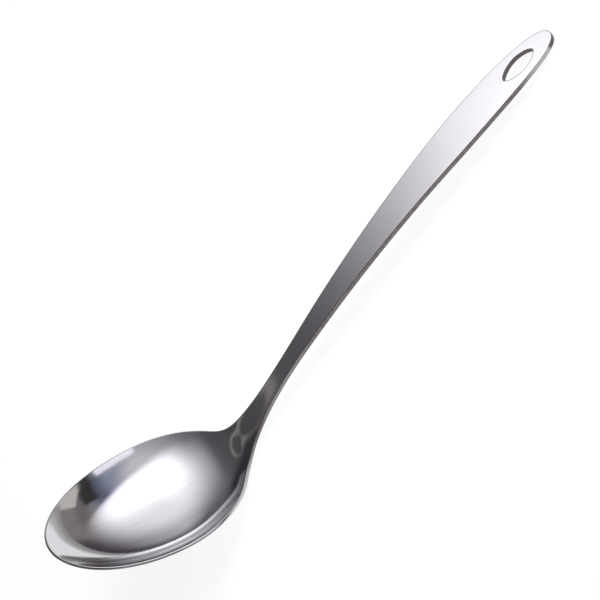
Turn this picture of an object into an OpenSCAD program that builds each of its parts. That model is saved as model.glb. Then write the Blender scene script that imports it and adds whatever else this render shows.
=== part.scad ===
// Serving spoon pressed from one piece of stainless steel sheet.
// Lengths are in millimetres and angles in degrees.
// The spoon is drawn along its length, from the bowl's tip to the handle's end, and is then
// laid down as it rests on a table: on its belly and on the end of its handle.
// X runs from the bowl to the handle, Y across the spoon and Z up.

/* [Bowl] */
// Length along the rim from the tip to the widest place
bowl_front = 51.5; // [40:0.5:65]
// Length from the widest place to where the rim's oval would close
bowl_rear = 40; // [34:0.5:46]
// Width inside the rim at the widest place
bowl_w = 66.5; // [50:0.5:80]
// Depth of the inside below the rim at the widest place
bowl_depth = 11; // [9:0.5:16]
// Fullness of the hollow: 2 is a plain bow, and more is flatter below with steeper sides
bowl_fullness = 3.15; // [2:0.05:3.6]
// Slope of the rim at the tip, below zero where the tip turns up
tip_angle = -5.5; // [-12:0.5:0]
// Slope of the rim at the heel, where the bowl meets the neck
heel_angle = 4.5; // [0:0.5:12]

/* [Neck] */
// Angle round the rear oval, from its end, at which the rim turns into the neck
neck_leave = 31; // [24:1:40]
// How far the rim keeps its direction before it curves into the neck
neck_pull = 0.7; // [0.4:0.05:0.95]
// Distance of the narrowest place from the tip, along the spoon
neck_at = 133; // [120:1:150]
// Width at the narrowest place
neck_w = 9; // [6:0.5:14]
// Where the upward bend behind the bowl starts
bend_from = 78.5; // [74:0.5:84]
// Where the upward bend ends
bend_to = 96; // [92:0.5:104]
// Where the hollow of the bowl has run out into the flat handle
hollow_end = 170; // [140:1:200]

/* [Handle] */
// Length of the whole spoon measured along its curve
spoon_l = 312.5; // [290:0.5:340]
// Distance of the handle's widest place from the tip, along the spoon
wide_at = 259; // [240:1:270]
// Width at the widest place
handle_w = 19.7; // [14:0.1:26]
// Slope of the handle just behind the bend
neck_angle = 47; // [40:0.5:52]
// Slope of the handle half way along
middle_angle = 37; // [33:0.5:41]
// Slope of the handle at its end
end_angle = 26.5; // [20:0.5:32]
// Roundness of the handle's end: 2 is an ellipse and more is fuller
end_fullness = 2.6; // [2:0.1:3.5]

/* [Sheet] */
// Thickness of the bowl's wall
bowl_t = 1.3; // [1:0.1:2]
// Thickness of the handle
handle_t = 2.4; // [1.8:0.1:3.5]
// Radius that breaks the sharp edges of the sheet
edge_r = 0.3; // [0.15:0.05:0.4]

/* [Hanging hole] */
// Length of the hole
hole_l = 17; // [10:0.5:22]
// Width of the hole
hole_w = 8.6; // [5:0.1:11]
// Distance of the hole's middle from the handle's end
hole_from_end = 19; // [15:0.5:26]
// Shape of the hole: 2 is an ellipse and less is more pointed
hole_fullness = 1.75; // [1.5:0.05:2.4]

/* [Hidden] */

// Number of steps along each part of the outline and across the sheet
front_steps = 18;
rear_steps = 14;
neck_steps = 16;
taper_steps = 26;
end_steps = 14;
across_steps = 18;
// Step of the side view's running sum
run_step = 0.5;
hole_sides = 48;
// Share of the taper over which it eases in and eases out
taper_in = 0.12;
taper_out = 0.08;
// Place of the neck curve's second pull point, as a share of its length
neck_hold = 0.45;

half_bowl = bowl_w / 2;
half_neck = neck_w / 2;
half_handle = handle_w / 2;

// Smooth step from 0 to 1
function ease(u) = let (t = min(max(u, 0), 1)) t * t * (3 - 2 * t);

// Width of the flat outline. Each place is [distance along the spoon, half width].
neck_start = [
    bowl_front + bowl_rear * cos(neck_leave),
    half_bowl * sin(neck_leave)
];
neck_fall = half_bowl / bowl_rear / tan(neck_leave);
neck_first = neck_pull * (neck_start[1] - half_neck) / neck_fall;
neck_bend_points = [
    neck_start,
    neck_start + neck_first * [1, -neck_fall],
    [neck_start[0] + neck_hold * (neck_at - neck_start[0]), half_neck],
    [neck_at, half_neck]
];
function bezier(p, t) =
    pow(1 - t, 3) * p[0] + 3 * t * pow(1 - t, 2) * p[1] + 3 * t * t * (1 - t) * p[2] + t * t * t * p[3];
function taper(u) =
    (u < taper_in ? u * u / (2 * taper_in)
    : u < 1 - taper_out ? u - taper_in / 2
    : 1 - (taper_in + taper_out) / 2 - (1 - u) * (1 - u) / (2 * taper_out))
    / (1 - (taper_in + taper_out) / 2);
function front_place(a) = [bowl_front * (1 - cos(a)), half_bowl * sin(a)];
function rear_place(a) = [bowl_front + bowl_rear * cos(a), half_bowl * sin(a)];
function taper_place(u) = [
    neck_at + (wide_at - neck_at) * u,
    half_neck + (half_handle - half_neck) * taper(u)
];
function end_place(a) = [
    wide_at + (spoon_l - wide_at) * pow(sin(a), 2 / end_fullness),
    half_handle * pow(cos(a), 2 / end_fullness)
];
outline = [
    for (i = [0 : front_steps]) front_place(90 * i / front_steps),
    for (i = [1 : rear_steps]) rear_place(90 - (90 - neck_leave) * i / rear_steps),
    for (i = [1 : neck_steps]) bezier(neck_bend_points, i / neck_steps),
    for (i = [1 : taper_steps]) taper_place(i / taper_steps),
    for (i = [1 : end_steps - 1]) end_place(90 * i / end_steps),
    [spoon_l, 0]
];
last = len(outline) - 1;

// Side view of the edge of the sheet: its slope, and its place by a running sum
function handle_angle(u) =
    neck_angle * (1 - u) * (1 - 2 * u) + 4 * middle_angle * u * (1 - u) + end_angle * u * (2 * u - 1);
function slope(s) =
    s < bend_from ? tip_angle + (heel_angle - tip_angle) * s / bend_from
    : s < bend_to ? heel_angle + (neck_angle - heel_angle) * ease((s - bend_from) / (bend_to - bend_from))
    : handle_angle((s - bend_to) / (spoon_l - bend_to));
run_count = ceil(spoon_l / run_step);
run = [
    for (
        i = 0, x = 0, z = 0;
        i <= run_count;
        x = x + run_step * cos(slope((i + 0.5) * run_step)),
        z = z + run_step * sin(slope((i + 0.5) * run_step)),
        i = i + 1
    ) [x, z]
];
function edge_at(s) =
    let (k = min(floor(s / run_step), run_count - 1), f = s / run_step - k)
    run[k] * (1 - f) + run[k + 1] * f;

// The upper face is the edge's side view, sunk by the hollow of the bowl. One rule gives the
// whole hollow: it deepens with the room inside the rim, which is nothing at the edge and one
// in the middle of the widest place, and it runs out along the neck.
half_squares = [for (p = outline) [p[0], p[1] * p[1]]];
function room(s, y) = (lookup(s, half_squares) - y * y) / (half_bowl * half_bowl);
function past_bowl(s) = ease((s - bowl_front) / (hollow_end - bowl_front));
function hollow(s, y) =
    bowl_depth * (1 - pow(max(1 - room(s, y), 0), bowl_fullness / 2)) * (1 - past_bowl(s));
function face_at(s, y) =
    let (e = edge_at(s))
    [e[0], y, e[1] - hollow(s, y)];
function thickness(s) = bowl_t + (handle_t - bowl_t) * past_bowl(s);

// Direction square to the upper face
function unit(v) = v / norm(v);
function square_to(s, y) =
    let (s0 = max(s - run_step, 0), s1 = min(s + run_step, spoon_l))
    unit(cross(
        face_at(s1, y) - face_at(s0, y),
        face_at(s, y + run_step) - face_at(s, y - run_step)
    ));
// A point of the sheet, at a depth below the upper face
function sheet_at(s, y, down) = face_at(s, y) - down * square_to(s, y);

// The two faces stop short of the outline by the radius of the broken edge
function along(i) =
    i == 0 ? [0, 1] : i == last ? [0, -1] : unit(outline[i + 1] - outline[i - 1]);
inner = [for (i = [0 : last]) outline[i] + edge_r * [along(i)[1], -along(i)[0]]];

// One closed loop round the sheet at each place: the upper face, the edge, the lower face
// and the other edge
function across(j) = sin(90 * (2 * j / across_steps - 1));
function row(i, down) = [for (j = [0 : across_steps]) sheet_at(inner[i][0], inner[i][1] * across(j), down)];
function backwards(list) = [for (k = [len(list) - 1 : -1 : 0]) list[k]];
function loop(i) =
    let (s = outline[i][0], half = outline[i][1], t = thickness(s))
    concat(
        row(i, 0),
        [sheet_at(s, half, edge_r), sheet_at(s, half, t - edge_r)],
        backwards(row(i, t)),
        [sheet_at(s, -half, t - edge_r), sheet_at(s, -half, edge_r)]
    );
loops = [for (i = [1 : last - 1]) loop(i)];
loop_n = 2 * (across_steps + 1) + 4;
rows_n = len(loops) * loop_n;

// At the tip and at the handle's end a loop shrinks to four points, one below the other
function nose(i) =
    let (s = outline[i][0], t = thickness(s))
    [sheet_at(inner[i][0], 0, 0), sheet_at(s, 0, edge_r), sheet_at(s, 0, t - edge_r), sheet_at(inner[i][0], 0, t)];
function nose_point(k) =
    k <= across_steps ? 0
    : k == across_steps + 1 || k == loop_n - 1 ? 1
    : k == across_steps + 2 || k == loop_n - 2 ? 2
    : 3;
points = concat([for (l = loops) each l], nose(0), nose(last));
function next(k) = (k + 1) % loop_n;
skin = [
    for (i = [0 : len(loops) - 2]) for (k = [0 : loop_n - 1])
        let (a = i * loop_n + k, b = i * loop_n + next(k))
        each [[a, b, b + loop_n], [a, b + loop_n, a + loop_n]]
];
function nose_faces(first, loop_start, turned) = [
    for (k = [0 : loop_n - 1])
        let (
            a = first + nose_point(k),
            b = first + nose_point(next(k)),
            c = loop_start + next(k),
            d = loop_start + k
        )
        each [
            if (a != b) turned ? [c, b, a] : [a, b, c],
            turned ? [d, c, a] : [a, c, d]
        ]
];
faces = concat(
    skin,
    nose_faces(rows_n, 0, false),
    nose_faces(rows_n + 4, rows_n - loop_n, true)
);

// Pose at rest: tilted until the belly and the handle's end touch the table together
low_end = nose(last)[3];
belly = [for (i = [1 : last]) if (outline[i][0] < bend_to) sheet_at(inner[i][0], 0, thickness(inner[i][0]))];
tilt = max([for (p = belly) atan2(low_end[2] - p[2], low_end[0] - p[0])]);
function tilted(p) = [p[0] * cos(tilt) + p[2] * sin(tilt), p[1], p[2] * cos(tilt) - p[0] * sin(tilt)];
rest_x = [for (p = points) tilted(p)[0]];
rest_z = [for (p = points) tilted(p)[2]];
mid_x = (min(rest_x) + max(rest_x)) / 2;
low_z = min(rest_z);

module at_rest() {
    translate([-mid_x, 0, -low_z])
        rotate([0, tilt, 0])
            children();
}

// Cutter for the hole that the spoon hangs by, square to the handle
hole_at = spoon_l - hole_from_end;
module hanging_hole() {
    outline_2d = [
        for (k = [0 : hole_sides - 1])
            let (a = 360 * k / hole_sides, c = cos(a), s = sin(a), e = 2 / hole_fullness)
            [hole_l / 2 * sign(c) * pow(abs(c), e), hole_w / 2 * sign(s) * pow(abs(s), e)]
    ];
    place = edge_at(hole_at);
    translate([place[0], 0, place[1]])
        rotate([0, -slope(hole_at), 0])
            translate([0, 0, -2 * handle_t])
                linear_extrude(4 * handle_t)
                    polygon(outline_2d);
}

// The whole spoon: bowl, neck and handle are one sheet
module spoon() {
    color("silver")
        at_rest()
            difference() {
                polyhedron(points, faces, convexity = 6);
                hanging_hole();
            }
}

spoon();
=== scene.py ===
# %% [markdown]
# # A serving spoon pressed from one sheet of stainless steel
# The real spoon is one piece. A flat blank is cut from sheet, rolled thinner where the bowl
# will be, punched with a hole to hang it by, pressed to shape and polished.
# This lesson makes it in the same order: a flat blank, then the hole, then the press,
# then the wall's thickness, the broken edges and the finish.
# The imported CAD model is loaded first. It fixes the place and the size of everything here.

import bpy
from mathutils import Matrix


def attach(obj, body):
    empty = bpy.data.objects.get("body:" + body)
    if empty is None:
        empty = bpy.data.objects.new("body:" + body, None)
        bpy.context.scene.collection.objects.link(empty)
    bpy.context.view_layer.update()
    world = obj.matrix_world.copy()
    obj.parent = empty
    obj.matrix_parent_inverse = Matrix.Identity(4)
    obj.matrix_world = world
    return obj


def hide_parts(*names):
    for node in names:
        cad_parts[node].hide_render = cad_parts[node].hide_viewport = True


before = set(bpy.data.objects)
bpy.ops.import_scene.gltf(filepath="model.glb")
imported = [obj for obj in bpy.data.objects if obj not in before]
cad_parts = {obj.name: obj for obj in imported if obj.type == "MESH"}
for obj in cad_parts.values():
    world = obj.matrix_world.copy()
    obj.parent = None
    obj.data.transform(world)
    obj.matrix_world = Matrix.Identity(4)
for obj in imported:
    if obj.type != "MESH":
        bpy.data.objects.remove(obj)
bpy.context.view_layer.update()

# %% Tools for the lesson
from math import cos, pi, radians, sin, tan

import bpy
import numpy as np
from mathutils import Matrix, Vector

MM = 0.001

# %% [markdown]
# ## The sizes that drive the shape
# These are the sizes of the CAD part, in millimetres and degrees. Distances along the spoon
# are measured on its curve, from the bowl's tip, as on the flat blank before it is bent.

# %% Bowl
bowl_front = 51.5
bowl_rear = 40
bowl_w = 66.5
bowl_depth = 11
bowl_fullness = 3.15
tip_angle = -5.5
heel_angle = 4.5

# %% Neck and handle
neck_leave = 31
neck_pull = 0.7
neck_hold = 0.45
neck_at = 133
neck_w = 9
bend_from = 78.5
bend_to = 96
hollow_end = 170
spoon_l = 312.5
wide_at = 259
handle_w = 19.7
neck_angle = 47
middle_angle = 37
end_angle = 26.5
end_fullness = 2.6
taper_in = 0.12
taper_out = 0.08

# %% Sheet and hanging hole
bowl_t = 1.3
handle_t = 2.4
edge_r = 0.3
hole_l = 17
hole_w = 8.6
hole_from_end = 19
hole_fullness = 1.75
rim_trim = 0.04
half_bowl, half_neck, half_handle = bowl_w / 2 - rim_trim, neck_w / 2, handle_w / 2
hole_at = spoon_l - hole_from_end

# %% [markdown]
# ## The outline of the flat blank
# A toolmaker draws half of the blank and mirrors it. The bowl is two quarter ovals, a long
# one in front and a short one behind. A smooth curve leads into the neck, the handle widens
# in an almost straight line, and its end is a full rounded oval. Many close points on these
# curves let later steps look up the half width anywhere.

# %% Half outline, as distance along the spoon and half width
curve_points = 241


def ease(u):
    u = np.clip(u, 0, 1)
    return u * u * (3 - 2 * u)


def turns(start, stop):
    return np.radians(np.linspace(start, stop, curve_points))


def half_outline():
    turn = turns(0, 90)
    front = np.c_[bowl_front * (1 - np.cos(turn)), half_bowl * np.sin(turn)]
    turn = turns(90, neck_leave)[1:]
    rear = np.c_[bowl_front + bowl_rear * np.cos(turn), half_bowl * np.sin(turn)]
    start = rear[-1]
    fall = half_bowl / bowl_rear / tan(radians(neck_leave))
    first = neck_pull * (start[1] - half_neck) / fall
    pulls = [start, start + first * np.array([1, -fall]),
             np.array([start[0] + neck_hold * (neck_at - start[0]), half_neck]),
             np.array([neck_at, half_neck])]
    t = np.linspace(0, 1, curve_points)[1:, None]
    neck = ((1 - t) ** 3 * pulls[0] + 3 * t * (1 - t) ** 2 * pulls[1]
            + 3 * t * t * (1 - t) * pulls[2] + t ** 3 * pulls[3])
    u = np.linspace(0, 1, curve_points)[1:]
    eased = (taper_in + taper_out) / 2
    grow = np.where(u < taper_in, u * u / (2 * taper_in),
                    np.where(u < 1 - taper_out, u - taper_in / 2,
                             1 - eased - (1 - u) ** 2 / (2 * taper_out))) / (1 - eased)
    taper = np.c_[neck_at + (wide_at - neck_at) * u, half_neck + (half_handle - half_neck) * grow]
    turn = turns(0, 90)[1:]
    end = np.c_[wide_at + (spoon_l - wide_at) * np.sin(turn) ** (2 / end_fullness),
                half_handle * np.cos(turn) ** (2 / end_fullness)]
    return np.concatenate([front, rear, neck, taper, end])


outline = half_outline()


def half_width(s):
    return np.interp(s, outline[:, 0], outline[:, 1])


print("outline points:", len(outline), "widest:", round(2 * float(outline[:, 1].max()), 2), "mm")

# %% [markdown]
# ## The side view and the hollow
# Seen from the side, the edge of the sheet is nearly level along the bowl, turns up in the
# bend behind it and flattens towards the end of the handle. A running sum of short steps
# turns these slopes into places. The bowl sinks below its edge by one rule: it deepens with
# the room inside the rim, so it has a flat bottom and steep sides, and it dies out in the neck.

# %% Side view of the edge
def slope(s):
    level = tip_angle + (heel_angle - tip_angle) * s / bend_from
    bend = heel_angle + (neck_angle - heel_angle) * ease((s - bend_from) / (bend_to - bend_from))
    u = (s - bend_to) / (spoon_l - bend_to)
    arm = (neck_angle * (1 - u) * (1 - 2 * u) + 4 * middle_angle * u * (1 - u)
           + end_angle * u * (2 * u - 1))
    return np.radians(np.where(s < bend_from, level, np.where(s < bend_to, bend, arm)))


side_points = 2501
steps = np.linspace(0, spoon_l, side_points)
middle_slope = slope((steps[1:] + steps[:-1]) / 2)
edge_x = np.r_[0, np.cumsum(np.cos(middle_slope) * np.diff(steps))]
edge_z = np.r_[0, np.cumsum(np.sin(middle_slope) * np.diff(steps))]

# %% Upper face of the sheet, and its thickness
def past_bowl(s):
    return ease((s - bowl_front) / (hollow_end - bowl_front))


def upper_face(s, y):
    room = (half_width(s) ** 2 - y * y) / half_bowl ** 2
    hollow = bowl_depth * (1 - np.maximum(1 - room, 0) ** (bowl_fullness / 2)) * (1 - past_bowl(s))
    return np.stack([np.interp(s, steps, edge_x), y, np.interp(s, steps, edge_z) - hollow], -1)


def thickness(s):
    return bowl_t + (handle_t - bowl_t) * past_bowl(s)


print("straight length:", round(float(np.hypot(edge_x[-1], edge_z[-1])), 1), "mm")

# %% [markdown]
# ## How the spoon lies on the table
# It rests on its belly and on the end of its handle. The tilt is the one at which both touch.
# `press` takes points of the flat blank and gives their places in the finished spoon.

# %% Rest pose
def square_to(s, y, step=0.2):
    ahead = upper_face(np.minimum(s + step, spoon_l), y) - upper_face(np.maximum(s - step, 0), y)
    aside = upper_face(s, y + step) - upper_face(s, y - step)
    up = np.cross(ahead, aside)
    return up / np.linalg.norm(up, axis=-1, keepdims=True)


keel_points = 1200
keel = np.linspace(edge_r, spoon_l - edge_r, keel_points)
under = upper_face(keel, 0 * keel) - thickness(keel)[:, None] * square_to(keel, 0 * keel)
belly = under[keel < bend_to]
tilt = np.max(np.arctan2(under[-1, 2] - belly[:, 2], under[-1, 0] - belly[:, 0]))


def tilted(p):
    return np.stack([p[..., 0] * cos(tilt) + p[..., 2] * sin(tilt), p[..., 1],
                     p[..., 2] * cos(tilt) - p[..., 0] * sin(tilt)], -1)


low = tilted(under)[:, 2].min()
lengthways = np.concatenate([tilted(under)[:, 0], tilted(upper_face(keel, 0 * keel))[:, 0]])
middle = (lengthways.min() + lengthways.max()) / 2


def press(s, y):
    return (tilted(upper_face(s, y)) - [middle, 0, low]) * MM


print("tilt:", round(float(np.degrees(tilt)), 2), "degrees")

# %% [markdown]
# ## The blank
# A grid makes a good blank, because its rows can follow the rim: at the tip they bow out with
# the oval, so no fan of thin triangles gathers at the front, and further on they lie straight
# across. The grid stops short of the hole. It also stops a narrow border short of the outline
# all round, which comes later as a strip of its own and keeps the rim crisp.

# %% Where the rows and columns go
border = 0.9
columns = 22
front_rows, rear_rows, neck_rows, handle_rows = 17, 18, 8, 19
heel_at = 100
ring_from = 270
straight_rows = np.concatenate([
    np.linspace(bowl_front, heel_at, rear_rows + 1)[1:],
    np.linspace(heel_at, neck_at, neck_rows + 1)[1:],
    np.linspace(neck_at, ring_from, handle_rows + 1)[1:],
])
rows = front_rows + len(straight_rows)


def blank_place(row, column):
    across = 2 * column / columns - 1
    back = np.clip(row / front_rows, 0, 1) - 1
    s = bowl_front + (bowl_front - border) * back * np.sqrt(1 - across ** 2 / 2)
    y = (half_bowl - border) * across * np.sqrt(1 - back ** 2 / 2)
    straight = row > front_rows
    far = straight_rows[np.clip(row - front_rows - 1, 0, None)]
    return np.where(straight, far, s), np.where(straight, (half_width(far) - border) * across, y)


# %% Two helpers: read and move the points of a mesh
def points_of(piece):
    flat = np.empty(3 * len(piece.data.vertices))
    piece.data.vertices.foreach_get("co", flat)
    return flat.reshape(-1, 3)


def move_points(piece, places):
    piece.data.vertices.foreach_set("co", np.asarray(places, float).ravel())
    piece.data.update()


# %% Lay out the blank
bpy.ops.object.select_all(action="DESELECT")
bpy.ops.mesh.primitive_grid_add(x_subdivisions=rows, y_subdivisions=columns, size=2)
spoon = bpy.context.object
spoon.name = "steel_spoon"
grid = points_of(spoon)
row = np.rint((grid[:, 0] + 1) / 2 * rows).astype(int)
column = np.rint((grid[:, 1] + 1) / 2 * columns).astype(int)
s, y = blank_place(row, column)
move_points(spoon, np.c_[s, y, 0 * s])
print("blank:", len(spoon.data.polygons), "faces")

# %% [markdown]
# ## The end of the handle and its hole
# Round the hole the faces should run in rings, as they would if the hole was drawn first.
# A circle becomes the outer ring: its first points lie on the blank's last row and the others
# on the outline of the handle's end. The ring is then extruded inwards in a few steps until
# it meets the pointed oval of the hole.

# %% The outer ring
hole_middle = np.array([hole_at, 0])
end_points = 34


def inset_outline(start):
    along = outline[outline[:, 0] >= start]
    way = np.gradient(along, axis=0)
    way /= np.linalg.norm(way, axis=1, keepdims=True)
    return along + border * np.c_[way[:, 1], -way[:, 0]]


def outer_ring():
    across = np.linspace(1, -1, columns + 1)
    last_row = np.c_[0 * across + ring_from, (half_width(ring_from) - border) * across]
    side = inset_outline(ring_from)
    side = side[side[:, 1] > 0]
    angle = np.arctan2(side[:, 1], side[:, 0] - hole_at)
    corner = np.arctan2(last_row[0, 1], ring_from - hole_at)
    reach = np.hypot(side[:, 0] - hole_at, side[:, 1])
    wanted = np.linspace(-corner, corner, end_points + 1)[1:-1]
    radius = np.interp(np.abs(wanted), angle[::-1], reach[::-1])
    round_end = np.c_[hole_at + radius * np.cos(wanted), radius * np.sin(wanted)]
    return np.concatenate([last_row, round_end])


ring_places = outer_ring()
bpy.ops.object.select_all(action="DESELECT")
bpy.ops.mesh.primitive_circle_add(vertices=len(ring_places), radius=1)
ring = bpy.context.object
move_points(ring, np.c_[ring_places, 0 * ring_places[:, 0]])
print("outer ring:", len(ring_places), "points")

# %% Extrude the ring inwards to the hole
def hole_reach(way, grown=0.0):
    half_l, half_w = hole_l / 2 + grown, hole_w / 2 + grown
    return (np.abs(way[:, 0] / half_l) ** hole_fullness
            + np.abs(way[:, 1] / half_w) ** hole_fullness) ** (-1 / hole_fullness)


def selected_points(piece):
    chosen = np.empty(len(piece.data.vertices), bool)
    piece.data.vertices.foreach_get("select", chosen)
    return chosen


ring_steps = 5
for step in range(ring_steps):
    bpy.ops.object.mode_set(mode="EDIT")
    if step == 0:
        bpy.ops.mesh.select_all(action="SELECT")
    bpy.ops.mesh.extrude_region_move()
    bpy.ops.object.mode_set(mode="OBJECT")
    places = points_of(ring)
    chosen = selected_points(ring)
    arm = places[chosen, :2] - hole_middle
    length = np.linalg.norm(arm, axis=1)
    goal = hole_reach(arm / length[:, None], border)
    nearer = length + (goal - length) / (ring_steps - step)
    places[chosen, :2] = hole_middle + arm / length[:, None] * nearer[:, None]
    move_points(ring, places)
print("faces round the hole:", len(ring.data.polygons))

# %% Join the ring to the blank
weld_gap = 0.01
spoon.select_set(True)
bpy.context.view_layer.objects.active = spoon
bpy.ops.object.join()
bpy.ops.object.mode_set(mode="EDIT")
bpy.ops.mesh.select_all(action="SELECT")
bpy.ops.mesh.remove_doubles(threshold=weld_gap)
bpy.ops.mesh.normals_make_consistent(inside=False)
bpy.ops.object.mode_set(mode="OBJECT")
if spoon.data.polygons[0].normal.z < 0:
    spoon.data.flip_normals()
print("blank with its hole:", len(spoon.data.polygons), "faces")

# %% [markdown]
# ## The border strip
# Extruding the free edges and moving the new points to the true outline gives a strip of even
# width along the rim, round the handle's end and round the hole. Its narrow faces hold the
# surface tight against the edge when the mesh is smoothed later.

# %% Extrude the border to the cut edges
hole_points = 721
turn = np.linspace(0, 2 * pi, hole_points)
way = np.c_[np.cos(turn), np.sin(turn)]
hole_edge = hole_middle + way * hole_reach(way)[:, None]
cut_edges = np.concatenate([outline, outline * [1, -1], hole_edge])

bpy.ops.object.mode_set(mode="EDIT")
bpy.ops.mesh.select_all(action="SELECT")
bpy.ops.mesh.region_to_loop()
bpy.ops.mesh.extrude_region_move()
bpy.ops.object.mode_set(mode="OBJECT")
places = points_of(spoon)
chosen = np.flatnonzero(selected_points(spoon))
gap = np.linalg.norm(places[chosen, None, :2] - cut_edges[None], axis=2)
places[chosen, :2] = cut_edges[gap.argmin(axis=1)]
move_points(spoon, places)
widest = float(gap.min(axis=1).max())
print("border points:", len(chosen), "border width up to", round(widest, 2), "mm")

# %% [markdown]
# ## Marks that stay with the sheet
# Two things are easiest to note while the blank is flat. A UV map records each point's place
# on the blank, for the direction of the polishing marks. A vertex group records the wall's
# thickness, because the sheet is thinner in the bowl than in the handle.

# %% UV map and thickness group
blank_map = spoon.data.uv_layers.new(name="blank")
corner_point = np.empty(len(spoon.data.loops), int)
spoon.data.loops.foreach_get("vertex_index", corner_point)
blank_map.data.foreach_set("uv", (points_of(spoon)[corner_point, :2] / spoon_l).ravel())
wall = spoon.vertex_groups.new(name="wall")
for index, share in enumerate(thickness(points_of(spoon)[:, 0]) / handle_t):
    wall.add([index], float(share), "REPLACE")
print("points with a thickness:", len(spoon.data.vertices))

# %% [markdown]
# ## The press
# The tools close on the blank and every point goes to its place on the curved sheet.
# No single modifier gives this shape, so the points are moved by the formulas above.

# %% Press the blank
flat = points_of(spoon)
move_points(spoon, press(flat[:, 0], flat[:, 1]))
print("pressed size in mm:", np.ptp(points_of(spoon), axis=0) / MM)

# %% [markdown]
# ## Wall, broken edges and smooth skin
# Solidify adds the wall below the upper face, as thick as the vertex group says. The bevel
# breaks the square edges that shearing leaves. Subdivision then rounds the whole skin, and
# all three are applied so that the mesh itself is finished.

# %% Give the sheet its wall
polished_steel = bpy.data.materials.new("polished_steel")
sheared_edge = bpy.data.materials.new("sheared_edge")
spoon.data.materials.append(polished_steel)
spoon.data.materials.append(sheared_edge)
bpy.ops.object.select_all(action="DESELECT")
spoon.select_set(True)
bpy.context.view_layer.objects.active = spoon
solid = spoon.modifiers.new("wall", "SOLIDIFY")
solid.thickness = handle_t * MM
solid.offset = -1
solid.vertex_group = "wall"
solid.material_offset_rim = 1
bpy.ops.object.modifier_apply(modifier="wall")
print("sheet with its wall:", len(spoon.data.polygons), "faces")

# %% Break the edges
square_edge = radians(60)
bpy.ops.object.mode_set(mode="EDIT")
bpy.ops.mesh.select_mode(type="EDGE")
bpy.ops.mesh.select_all(action="DESELECT")
bpy.ops.mesh.edges_select_sharp(sharpness=square_edge)
bpy.ops.mesh.bevel(offset=edge_r * MM, segments=2, profile=0.5, affect="EDGES", clamp_overlap=True,
                   material=1)
bpy.ops.mesh.select_mode(type="VERT")
bpy.ops.object.mode_set(mode="OBJECT")
print("wall with broken edges:", len(spoon.data.polygons), "faces")

# %% Smooth the skin
smoothing = 2
skin = spoon.modifiers.new("skin", "SUBSURF")
skin.levels = skin.render_levels = smoothing
bpy.ops.object.modifier_apply(modifier="skin")
bpy.ops.object.shade_smooth()
print("finished mesh:", len(spoon.data.polygons), "faces")

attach(spoon, "root")
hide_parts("spoon")

# %% [markdown]
# ## Shader maths as plain expressions
# A small class wraps a node's output, so that sums and products of textures can be written
# as Python expressions. Each operator adds one Math node.

# %% A socket that can be added and multiplied
class Value:
    def __init__(self, shader, socket):
        self.shader = shader
        self.socket = socket

    def maths(self, operation, other, swap=False):
        pair = [other, self] if swap else [self, other]
        return self.shader.node("ShaderNodeMath", {"operation": operation}, {0: pair[0], 1: pair[1]})

    def __add__(self, other):
        return self.maths("ADD", other)

    def __sub__(self, other):
        return self.maths("SUBTRACT", other)

    def __mul__(self, other):
        return self.maths("MULTIPLY", other)

    def __rsub__(self, other):
        return self.maths("SUBTRACT", other, swap=True)

    __radd__ = __add__
    __rmul__ = __mul__


class Shader:
    def __init__(self, owner):
        owner.use_nodes = True
        self.tree = owner.node_tree
        self.tree.nodes.clear()

    def node(self, kind, settings=None, inputs=None, out=0):
        made = self.tree.nodes.new(kind)
        for name, value in (settings or {}).items():
            setattr(made, name, value)
        for key, value in (inputs or {}).items():
            if isinstance(value, Value):
                self.tree.links.new(value.socket, made.inputs[key])
            else:
                made.inputs[key].default_value = value
        return Value(self, made.outputs[out]) if len(made.outputs) else made

    def power(self, value, exponent):
        return self.node("ShaderNodeMath", {"operation": "POWER"}, {
            0: self.node("ShaderNodeMath", {"operation": "ABSOLUTE"}, {0: value}), 1: exponent})

    def split(self, vector):
        parts = self.node("ShaderNodeSeparateXYZ", None, {0: vector}).socket.node.outputs
        return [Value(self, part) for part in parts]

    # Sockets 6 and 7 of a Mix node are its two colours, and output 2 is the mixed one.
    def mix(self, share, first, second):
        return self.node("ShaderNodeMix", {"data_type": "RGBA"}, {0: share, 6: first, 7: second}, out=2)

    def between(self, value, low, high, first=0.0, last=1.0):
        return self.node("ShaderNodeMapRange", {"interpolation_type": "SMOOTHSTEP"},
                         {0: value, 1: low, 2: high, 3: first, 4: last})


# %% [markdown]
# ## Polished steel
# The spoon is polished with fine belts that run along its length, so its surface is a mirror
# broken by long faint marks, which show more in the bowl than on the handle. They are noise
# stretched along the blank, read from the blank's own UV map so that they follow the sheet
# round the bend. They feed the bump, the roughness and, a little, the colour, which in the bowl
# is lighter along them as painted sheen. The sheared edge is polished round the bowl, and duller
# and darker than the faces along the handle and in the hole; its darker colour is partly the dull
# shear and partly painted shade, near black in the hole. Painted highlights lighten it above the
# neck and by the handle's end.

# %% The polished faces: marks along the sheet, lighter in the bowl as painted sheen, with heights in metres
fine_stretch, wide_stretch = (40.0, 1500.0, 1.0), (22.0, 620.0, 1.0)
fine_height, wide_height, bowl_height = 0.000002, 0.000002, 0.000008
bowl_end, bowl_inside = 0.33, 0.22
mark_low, mark_high = 0.35, 0.65
patch_light, handle_light, mark_sheen_light = 0.45, 0.15, 0.3
smoothest, fine_rough, patch_rough, mark_rough = 0.03, 0.05, 0.03, 0.02
darker_steel, lighter_steel = (0.58, 0.572, 0.588, 1), (0.70, 0.692, 0.708, 1)
shader = Shader(polished_steel)
place = shader.node("ShaderNodeUVMap", {"uv_map": "blank"})
long_marks = shader.node("ShaderNodeMapping", None, {"Vector": place, "Scale": fine_stretch})
fine = shader.node("ShaderNodeTexNoise", None, {"Vector": long_marks, "Scale": 1.0, "Detail": 3.0})
wide_marks = shader.node("ShaderNodeMapping", None, {"Vector": place, "Scale": wide_stretch})
streak = shader.node("ShaderNodeTexNoise", None, {"Vector": wide_marks, "Scale": 1.0, "Detail": 2.0})
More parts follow.
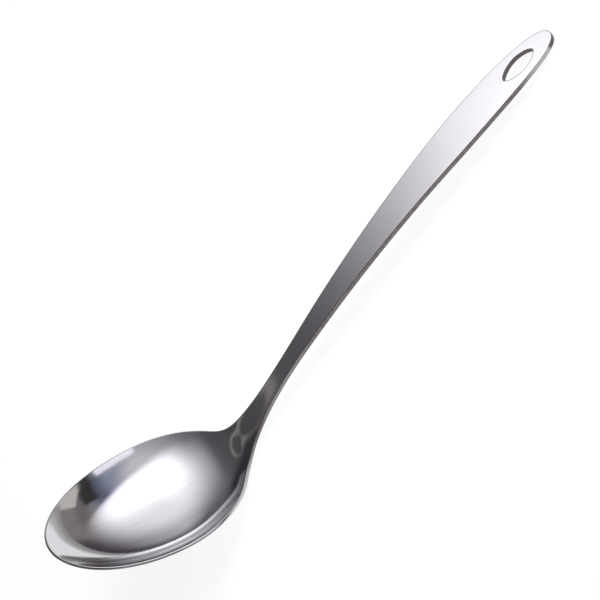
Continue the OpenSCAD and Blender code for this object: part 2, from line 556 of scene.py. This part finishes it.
patch = shader.node("ShaderNodeTexNoise", None, {"Vector": place, "Scale": 14.0, "Detail": 4.0})
in_bowl = shader.between(shader.split(place)[0], bowl_end, bowl_inside)
marks_and_sheen = in_bowl * shader.between(streak, mark_low, mark_high)
height = fine_height * fine + (wide_height + bowl_height * in_bowl) * streak
# Along the marks in the bowl the colour is lighter: painted sheen of light caught by the marks.
lightness = patch_light * patch + handle_light * (1 - in_bowl) + mark_sheen_light * marks_and_sheen
roughness = smoothest + fine_rough * fine + patch_rough * patch + mark_rough * marks_and_sheen
bump = shader.node("ShaderNodeBump", None, {"Strength": 1.0, "Distance": 1.0, "Height": height})
steel = shader.node("ShaderNodeBsdfPrincipled", None, {
    "Base Color": shader.mix(lightness, darker_steel, lighter_steel), "Metallic": 1.0,
    "Roughness": roughness, "Normal": bump})
shader.node("ShaderNodeOutputMaterial", None, {"Surface": steel})
print("nodes of the polished steel:", len(shader.tree.nodes))

# %% Where the sheared edge is dull and painted darker, and where painted highlights lighten it, in metres from the spoon's middle
hole_start, hole_side = (0.10, 0.11), (0.006, 0.005)
# Above the neck and by the handle's end the edge has painted highlights: a lighter, smoother tone.
neck_highlight_start, neck_highlight_end, neck_highlight = (-0.058, -0.046), (-0.012, -0.028), 0.2
end_highlight_start, end_highlight_end, end_highlight = (0.120, 0.136), (0.1465, 0.141), 0.65
dull_shaded_start = (-0.085, -0.060)
shader = Shader(sheared_edge)
place = shader.node("ShaderNodeTexCoord", out="Object")
along, sideways, _ = shader.split(place)
in_hole = shader.between(along, *hole_start) * shader.between(shader.power(sideways, 1), *hole_side)
neck_highlight_place = shader.between(along, *neck_highlight_start) * shader.between(along, *neck_highlight_end)
end_highlight_place = shader.between(along, *end_highlight_start) * shader.between(along, *end_highlight_end) * (1 - in_hole)
# The painted highlights take away the dull, darker tone.
painted_highlight = neck_highlight * neck_highlight_place + end_highlight * end_highlight_place
dull_and_shaded = shader.between(along, *dull_shaded_start) * (1 - painted_highlight)

# %% The sheared edge: dull grain, darkened as painted shade and near black in the hole
# The hole's near-black tone is painted shade on the wall inside the hole.
polished_tone, hole_shade_tone, hole_shade_share = (0.55, 0.54, 0.545, 1), (0.05, 0.04, 0.04, 1), 0.4
# The grain tones are the edge's own dull grain, made darker as painted shade.
shaded_dark_grain, shaded_light_grain = (0.14, 0.125, 0.125, 1), (0.19, 0.175, 0.175, 1)
edge_rough, dull_rough, grain_rough = 0.12, 0.12, 0.1
grain = shader.node("ShaderNodeTexNoise", None, {"Vector": place, "Scale": 600.0, "Detail": 3.0})
dull_shaded_tone = shader.mix(shader.between(grain, mark_low, mark_high), shaded_dark_grain, shaded_light_grain)
dull_shaded_tone = shader.mix(hole_shade_share * in_hole, dull_shaded_tone, hole_shade_tone)
edge = shader.node("ShaderNodeBsdfPrincipled", None, {
    "Base Color": shader.mix(dull_and_shaded, polished_tone, dull_shaded_tone),
    "Metallic": 1.0, "Roughness": edge_rough + dull_and_shaded * (dull_rough + grain_rough * grain)})
shader.node("ShaderNodeOutputMaterial", None, {"Surface": edge})
print("nodes of the sheared edge:", len(shader.tree.nodes))

# %% [markdown]
# ## Table, soft box and room
# The spoon lies on a pale table. Its glow is a painted pool of light: white round the spoon and
# softly greyer further off. This light is added for the rays that the camera, a mirror or a glass
# sends to it, so it shows white to all three and still keeps the spoon's shadow. One large soft
# box leans over the table from the far side. It fades slowly towards the neck, which gives the
# long change along the handle, and a card cuts it off sharply on one side, which gives the crisp
# edge of the highlight in the bowl. Where its cloth is dark it is see-through, so that it hides
# nothing of the room.

# %% Table top
table_size = 8
bpy.ops.object.select_all(action="DESELECT")
bpy.ops.mesh.primitive_plane_add(size=table_size, location=(0, 0, 0))
table = bpy.context.object
table.name = "table"
print("table:", table_size, "m square")

# %% Its white: a painted pool of light round the spoon, as large as the picture, in metres
# The far tone is painted shade: the table's glow turns greyer away from the spoon.
white_tone, table_paint, table_far_shade_tone = (1, 1, 1, 1), (0.38, 0.38, 0.38, 1), (0.36, 0.35, 0.345, 1)
table_glow = 0.80
pool_middle, pool_half, pool_turn = (-0.037, 0.062), (0.30, 0.18), radians(-60.35)
pool_squareness, pool_fade = 4, 1.6
white = bpy.data.materials.new("white_table")
shader = Shader(white)
seen = shader.node("ShaderNodeLightPath", out="Is Camera Ray")
mirrored = shader.node("ShaderNodeLightPath", out="Is Glossy Ray")
through_glass = shader.node("ShaderNodeLightPath", out="Is Transmission Ray")
pool = shader.node("ShaderNodeMapping", {"vector_type": "TEXTURE"}, {
    "Vector": shader.node("ShaderNodeTexCoord", out="Object"),
    "Location": (*pool_middle, 0.0), "Rotation": (0.0, 0.0, pool_turn), "Scale": (*pool_half, 1.0)})
along, across, _ = shader.split(pool)
outside = shader.power(shader.power(along, pool_squareness) + shader.power(across, pool_squareness),
                       1 / pool_squareness)
# Beyond the pool the glow fades to grey: painted shade where less light would fall.
far = shader.between(outside, 1.0, pool_fade)
paint = shader.node("ShaderNodeBsdfDiffuse", None, {"Color": table_paint})
glow = shader.node("ShaderNodeEmission", None, {
    "Color": shader.mix(far, white_tone, table_far_shade_tone),
    "Strength": table_glow * (seen + mirrored + through_glass)})
both = shader.node("ShaderNodeAddShader", None, {0: paint, 1: glow})
shader.node("ShaderNodeOutputMaterial", None, {"Surface": both})
print("nodes of the white table:", len(shader.tree.nodes))
table.data.materials.append(white)

# %% Place of the soft box, in metres
def direction(azimuth, elevation):
    return Vector((cos(elevation) * cos(azimuth), cos(elevation) * sin(azimuth), sin(elevation)))


box_azimuth, box_elevation, box_turn = radians(84.5), radians(62.1), radians(6.8)
box_distance = 0.389
aim_height = 0.02
towards = direction(box_azimuth, box_elevation)
level_side = Vector((0, 0, 1)).cross(towards).normalized()
rise = towards.cross(level_side)
box_u = cos(box_turn) * level_side + sin(box_turn) * rise
box_v = towards.cross(box_u)

# %% The frame of the soft box
box_left, box_right, box_low, box_high = -0.74, 0.24, -0.50, 0.53
bpy.ops.mesh.primitive_plane_add(size=1)
soft_box = bpy.context.object
soft_box.name = "soft_box"
share = points_of(soft_box) + [0.5, 0.5, 0]
box_size = [box_right - box_left, box_high - box_low, 0]
move_points(soft_box, share * box_size + [box_left, box_low, 0])
soft_box.matrix_world = Matrix((box_u, box_v, towards)).transposed().to_4x4()
soft_box.location = box_distance * towards + Vector((0, 0, aim_height))
soft_box.visible_camera = False
print("soft box:", [round(side, 2) for side in box_size[:2]], "m")

# %% The glow of its cloth: an oval, shaded off at the right and below, and cut by the card
box_strength, box_tone, black = 3.15, (1, 0.99, 1.02, 1), (0, 0, 0, 1)
oval_middle, oval_half, oval_fade = (-0.158, 0.015), (0.258, 0.232), 1.228
right_edge, right_fade = 0.043, 0.193
low_edge, low_fade = -0.190, 0.396
card_turn, card_edge, card_fade = -0.349, -0.538, 0.061
glowing = bpy.data.materials.new("soft_box_cloth")
shader = Shader(glowing)
u, v, _ = shader.split(shader.node("ShaderNodeTexCoord", out="Object"))


def fade_in(value, edge, fade, sense=1):
    return shader.between(value, edge - sense * fade, edge + sense * fade)


def radius(across, up):
    return shader.power(shader.power(across, 2) + shader.power(up, 2), 0.5)


from_middle = radius((1 / oval_half[0]) * (u - oval_middle[0]),
                     (1 / oval_half[1]) * (v - oval_middle[1]))
mask = (fade_in(from_middle, 1, oval_fade, -1) * fade_in(u, right_edge, right_fade, -1)
        * fade_in(v, low_edge, low_fade)
        * fade_in(cos(card_turn) * u + sin(card_turn) * v, card_edge, card_fade))
lit = shader.node("ShaderNodeEmission", None, {
    "Color": shader.mix(mask, black, box_tone), "Strength": box_strength})
clear = shader.node("ShaderNodeBsdfTransparent")
cloth = shader.node("ShaderNodeAddShader", None, {0: clear, 1: lit})
shader.node("ShaderNodeOutputMaterial", None, {"Surface": cloth})
print("nodes of the cloth:", len(shader.tree.nodes))
soft_box.data.materials.append(glowing)

# %% [markdown]
# ## The room that the metal mirrors
# Bare steel shows its surroundings, so the room is as much a part of its look as the polish.
# It is dim behind the neck and paler high up on the camera's side, and a pale curtain lights
# the sides that the camera doesn't see. The bowl mirrors a few things that stand there, such
# as a pale card, a dark gap, a blue shade and a long lamp, and the neck mirrors a hoop. Each is
# a soft patch of the world, given by the direction and the spread in which it is seen.

# %% Directions in the room, in degrees
room = bpy.data.worlds.new("room")
bpy.context.scene.world = room
shader = Shader(room)
x, y, z = shader.split(shader.node("ShaderNodeTexCoord", out="Generated"))
degree = 180 / pi


def bearing(sideways, ahead):
    return degree * shader.node("ShaderNodeMath", {"operation": "ARCTAN2"}, {0: sideways, 1: ahead})


azimuth = bearing(y, x)
elevation = degree * shader.node("ShaderNodeMath", {"operation": "ARCSINE"}, {0: z})

# %% The room's grey, and a pale window high up on the camera's side
room_grey, room_slope, darkest = 0.066, (0.132, 0.069, 0.095), 0.032
room_tone, window_tone = (1.0, 0.95, 1.02, 1), (0.98, 0.98, 1.04, 1)
window_strength, window_fade = 1.225, 0.267
to_window = direction(radians(-33), radians(45.6))
grey = room_grey + room_slope[0] * x + room_slope[1] * y + room_slope[2] * z
dim = shader.node("ShaderNodeMath", {"operation": "MAXIMUM"}, {0: grey, 1: darkest})
faces_window = to_window[0] * x + to_window[1] * y + to_window[2] * z
pale = window_strength * fade_in(faces_window, 1, window_fade)
colour = shader.node("ShaderNodeVectorMath", {"operation": "ADD"}, {
    0: shader.mix(dim, black, room_tone), 1: shader.mix(pale, black, window_tone)})

# %% A pale curtain behind the bowl and behind the camera, which lights the other sides
curtain_tone = (0.62, 0.61, 0.62, 1)
curtain_start, curtain_end, curtain_top = (-15, 10), (92, 12), (42, 13)
from_bowl_end = bearing(0 - y, 0 - x)
curtain = (fade_in(from_bowl_end, *curtain_start) * fade_in(from_bowl_end, *curtain_end, -1)
           * fade_in(elevation, *curtain_top, -1))
colour = shader.mix(curtain, colour, curtain_tone)

# %% What stands in the room: middle, half spread and fade in degrees, turn, and colour
patches = {
    "grey wall": ((17, -2), (20, 21), (3, 3), -18, (0.285, 0.267, 0.26, 1)),
    "dark corner": ((56, -8), (16, 16), (9, 7), 0, (0.07, 0.06, 0.07, 1)),
    "wall's shaded top": ((9, 14), (14, 4), (8, 4), 0, (0.20, 0.187, 0.185, 1)),
    "low lamp": ((70, 18), (7, 8), (8, 6), 0, (0.53, 0.52, 0.54, 1)),
    "dark doorway": ((113, 17), (13, 9), (6, 6), 0, (0.04, 0.037, 0.043, 1)),
    "blue shade": ((-13, 28), (24, 8), (16, 6), 10, (0.33, 0.37, 0.49, 1)),
    "slate shade": ((-12, 23), (20, 5), (6, 4), 22, (0.14, 0.16, 0.215, 1)),
    "dark gap": ((-16, 15.5), (15, 5), (1.5, 2), 22, (0.05, 0.045, 0.045, 1)),
    "pale card": ((-16, 3.5), (14, 6.5), (0.8, 0.8), 0, (0.71, 0.68, 0.64, 1)),
    "long lamp": ((-45, 24.7), (12.5, 5), (0.8, 0.8), -46, (1.28, 1.25, 1.38, 1)),
}


def seen_from(middle, turned):
    right, up = cos(radians(middle[1])) * (azimuth - middle[0]), elevation - middle[1]
    turn = radians(turned)
    return cos(turn) * right + sin(turn) * up, cos(turn) * up - sin(turn) * right


for middle, half, fade, turned, tint in patches.values():
    along, across = seen_from(middle, turned)
    inside = (fade_in(along, -half[0], fade[0]) * fade_in(along, half[0], fade[0], -1)
              * fade_in(across, -half[1], fade[1]) * fade_in(across, half[1], fade[1], -1))
    colour = shader.mix(inside, colour, tint)
print("things in the room:", ", ".join(patches))

# %% An oval hoop hangs behind the neck, which mirrors it as a drop-shaped ring
hoop_middle, hoop_half, hoop_turn = (127.5, 33.2), (4.6, 8.0), -21.7
hoop_tone, hoop_shade, hoop_dark_side = (0.27, 0.255, 0.26, 1), 0.25, radians(250)
hoop_line, hoop_shading = (0.24, 0.12), (0.5, 0.85)
along, across = seen_from(hoop_middle, hoop_turn)
along, across = (1 / hoop_half[0]) * along, (1 / hoop_half[1]) * across
on_line = shader.between(shader.power(radius(along, across) - 1, 1), *hoop_line)
shaded = cos(hoop_dark_side) * along + sin(hoop_dark_side) * across
shown = on_line * shader.between(shaded, *hoop_shading, 1, hoop_shade)
colour = shader.mix(shown, colour, hoop_tone)
walls = shader.node("ShaderNodeBackground", None, {"Color": colour, "Strength": 1.0})
shader.node("ShaderNodeOutputWorld", None, {"Surface": walls})
print("nodes of the room:", len(shader.tree.nodes))

# %% [markdown]
# ## Camera
# The camera looks down on the spoon from its near side with a long lens, turned so that the
# handle rises to the upper right. Its place was found by laying the spoon's outline over the
# photographed one.

# %% Camera
camera_place = Vector((0.23703, -0.70374, 0.67828))
camera_right = Vector((0.57888, -0.44113, -0.68578))
camera_up = Vector((0.7791, 0.54742, 0.30552))
camera_back = camera_right.cross(camera_up)
sensor_mm, lens_mm, nearest = 36, 143.65, 0.01
camera_data = bpy.data.cameras.new("camera")
camera_data.sensor_width = sensor_mm
camera_data.lens = lens_mm
camera_data.clip_start = nearest
camera = bpy.data.objects.new("camera", camera_data)
bpy.context.collection.objects.link(camera)
camera.matrix_world = Matrix((camera_right, camera_up, camera_back)).transposed().to_4x4()
camera.location = camera_place
bpy.context.scene.camera = camera
bpy.context.scene.view_settings.view_transform = "Standard"
print("camera:", round(camera_place.length, 3), "m from the middle of the spoon")
